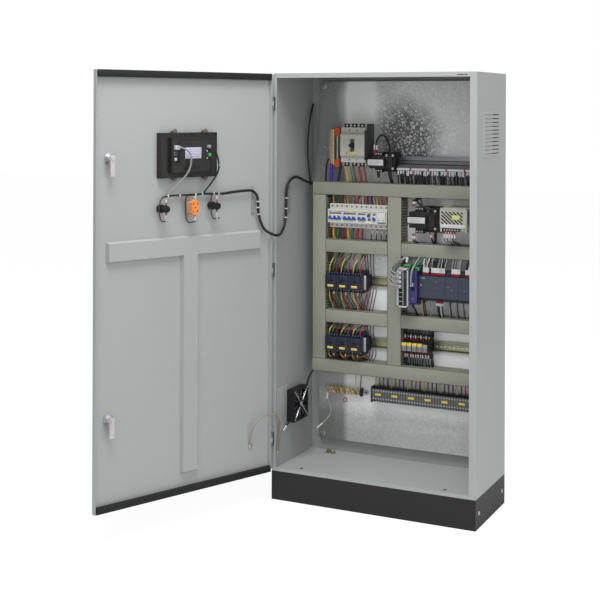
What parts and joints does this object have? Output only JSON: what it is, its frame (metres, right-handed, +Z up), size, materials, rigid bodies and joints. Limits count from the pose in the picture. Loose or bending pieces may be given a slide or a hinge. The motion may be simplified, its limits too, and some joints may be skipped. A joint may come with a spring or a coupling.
{
  "type": "industrial switchboard cabinet",
  "caption": "Floor-standing sheet-steel switchboard cabinet on a plinth, its hinged door open on a mounting plate with wiring ducts and control gear.",
  "frame": {"origin": "on the floor, at the middle of the plinth's front foot", "axes": "+X to the right across the front, +Y into the cabinet, +Z up"},
  "size_m": [0.9661, 0.9426, 1.4],
  "materials": {
    "paint": "light grey powder coat, fine texture",
    "plinth_paint": "black powder coat",
    "galvanised": "hot-dip galvanised, spangled",
    "duct_plastic": "warm grey trunking",
    "breaker_plastic": "off-white moulded case",
    "toggle_blue": "blue moulded",
    "toggle_white": "white moulded",
    "case_grey": "light grey moulded case",
    "black_plastic": "black moulded",
    "winding": "black resin",
    "navy_plastic": "blue-black moulded",
    "slate_plastic": "slate grey moulded",
    "violet_plastic": "blue-violet moulded",
    "device_metal": "plain aluminium case",
    "hinge_steel": "zinc plated",
    "lock_zinc": "bright plated",
    "brass": "plain brass",
    "terminal_plastic": "dark grey terminals",
    "rotary_plastic": "orange and grey moulded",
    "knob_plastic": "black handle",
    "cable_black": "black spiral wrap",
    "cable_earth": "green and yellow sheath"
  },
  "bodies": {
    "cabinet": {"left_side_panel": "paint", "right_side_panel": "paint", "top_panel": "paint", "floor_panel": "paint", "back_panel": "paint", "plinth": "plinth_paint", "mounting_plate": "galvanised", "duct_top": "duct_plastic", "duct_left": "duct_plastic", "duct_middle": "duct_plastic", "duct_row1_left": "duct_plastic", "duct_row1_right": "duct_plastic", "duct_row2_left": "duct_plastic", "duct_row2_right": "duct_plastic", "duct_bottom": "duct_plastic", "breaker_3p_a": "breaker_plastic", "breaker_3p_b": "breaker_plastic", "breaker_2p": "breaker_plastic", "breakers_1p": "breaker_plastic", "fuse_holder": "breaker_plastic", "mccb_body": "case_grey", "fan_frame": "black_plastic", "relay_row": "black_plastic", "transformer_upper": "winding", "transformer_lower": "winding", "contactors_upper": "navy_plastic", "contactors_lower": "navy_plastic", "plc_cpu": "slate_plastic", "io_modules": "slate_plastic", "comm_module": "violet_plastic", "ethernet_switch": "device_metal", "power_supply": "device_metal", "hinge_top": "hinge_steel", "hinge_middle": "hinge_steel", "hinge_bottom": "hinge_steel", "neutral_bar": "brass", "earth_bar": "brass", "terminal_row_upper": "terminal_plastic", "terminal_row_lower": "terminal_plastic", "door_harness": "cable_black", "earth_cable": "cable_earth"},
    "door": {"door_panel": "paint", "door_stiffener": "paint", "hmi": "black_plastic", "contact_block_left": "black_plastic", "contact_block_right": "black_plastic", "rotary_switch": "rotary_plastic"},
    "rotary_knob": {"rotary_knob": "knob_plastic"},
    "lock_upper": {"lock_upper": "lock_zinc"},
    "lock_lower": {"lock_lower": "lock_zinc"},
    "button_left": {"button_left": "black_plastic"},
    "button_right": {"button_right": "black_plastic"},
    "fan_rotor": {"fan_rotor": "black_plastic"},
    "mccb_toggle": {"mccb_toggle": "black_plastic"},
    "toggle_3p_a": {"toggle_3p_a": "toggle_blue"},
    "toggle_3p_b": {"toggle_3p_b": "toggle_blue"},
    "toggle_2p": {"toggle_2p": "toggle_blue"},
    "toggle_1p_a": {"toggle_1p_a": "toggle_white"},
    "toggle_1p_b": {"toggle_1p_b": "toggle_blue"},
    "fuse_carrier": {"fuse_carrier": "breaker_plastic"}
  },
  "joints": [
    {"name": "door_hinge", "type": "hinge", "parent": "cabinet", "child": "door", "pos_m": [-0.345, -0.031, 0.75], "axis": [0, 0, 1], "range_deg": [-15, 112.8], "deforming": ["door_harness", "earth_cable"]},
    {"name": "lock_upper_turn", "type": "hinge", "parent": "door", "child": "lock_upper", "pos_m": [-0.59411, -0.60296, 1.13565], "axis": [-0.9219, 0.3875, 0], "range_deg": [0, 90]},
    {"name": "lock_lower_turn", "type": "hinge", "parent": "door", "child": "lock_lower", "pos_m": [-0.59411, -0.60296, 0.36551], "axis": [-0.9219, 0.3875, 0], "range_deg": [0, 90]},
    {"name": "rotary_knob_turn", "type": "hinge", "parent": "door", "child": "rotary_knob", "pos_m": [-0.48219, -0.33672, 0.97876], "axis": [-0.9219, 0.3875, 0], "range_deg": [0, 90]},
    {"name": "button_left_press", "type": "slide", "parent": "door", "child": "button_left", "axis": [0.9219, -0.3875, 0], "range_m": [0, 0.004], "stiffness_N_per_m": 200, "springref_m": -0.001},
    {"name": "button_right_press", "type": "slide", "parent": "door", "child": "button_right", "axis": [0.9219, -0.3875, 0], "range_m": [0, 0.004], "stiffness_N_per_m": 200, "springref_m": -0.001},
    {"name": "fan_spin", "type": "hinge", "parent": "cabinet", "child": "fan_rotor", "pos_m": [-0.3467, 0.138, 0.283], "axis": [1, 0, 0], "continuous": true},
    {"name": "mccb_toggle_rock", "type": "hinge", "parent": "cabinet", "child": "mccb_toggle", "pos_m": [-0.151, 0.1887, 1.16128], "axis": [1, 0, 0], "range_deg": [-18, 18]},
    {"name": "toggle_3p_a_rock", "type": "hinge", "parent": "cabinet", "child": "toggle_3p_a", "pos_m": [-0.224, 0.2097, 0.91955], "axis": [-1, 0, 0], "range_deg": [0, 70]},
    {"name": "toggle_3p_b_rock", "type": "hinge", "parent": "cabinet", "child": "toggle_3p_b", "pos_m": [-0.17, 0.2097, 0.91955], "axis": [-1, 0, 0], "range_deg": [0, 70]},
    {"name": "toggle_2p_rock", "type": "hinge", "parent": "cabinet", "child": "toggle_2p", "pos_m": [-0.125, 0.2097, 0.91955], "axis": [-1, 0, 0], "range_deg": [0, 70]},
    {"name": "toggle_1p_a_rock", "type": "hinge", "parent": "cabinet", "child": "toggle_1p_a", "pos_m": [-0.098, 0.2097, 0.91955], "axis": [-1, 0, 0], "range_deg": [-70, 0]},
    {"name": "toggle_1p_b_rock", "type": "hinge", "parent": "cabinet", "child": "toggle_1p_b", "pos_m": [-0.08, 0.2097, 0.91955], "axis": [-1, 0, 0], "range_deg": [0, 70]},
    {"name": "fuse_carrier_swing", "type": "hinge", "parent": "cabinet", "child": "fuse_carrier", "pos_m": [-0.053, 0.2049, 0.90455], "axis": [1, 0, 0], "range_deg": [0, 65]}
  ]
}
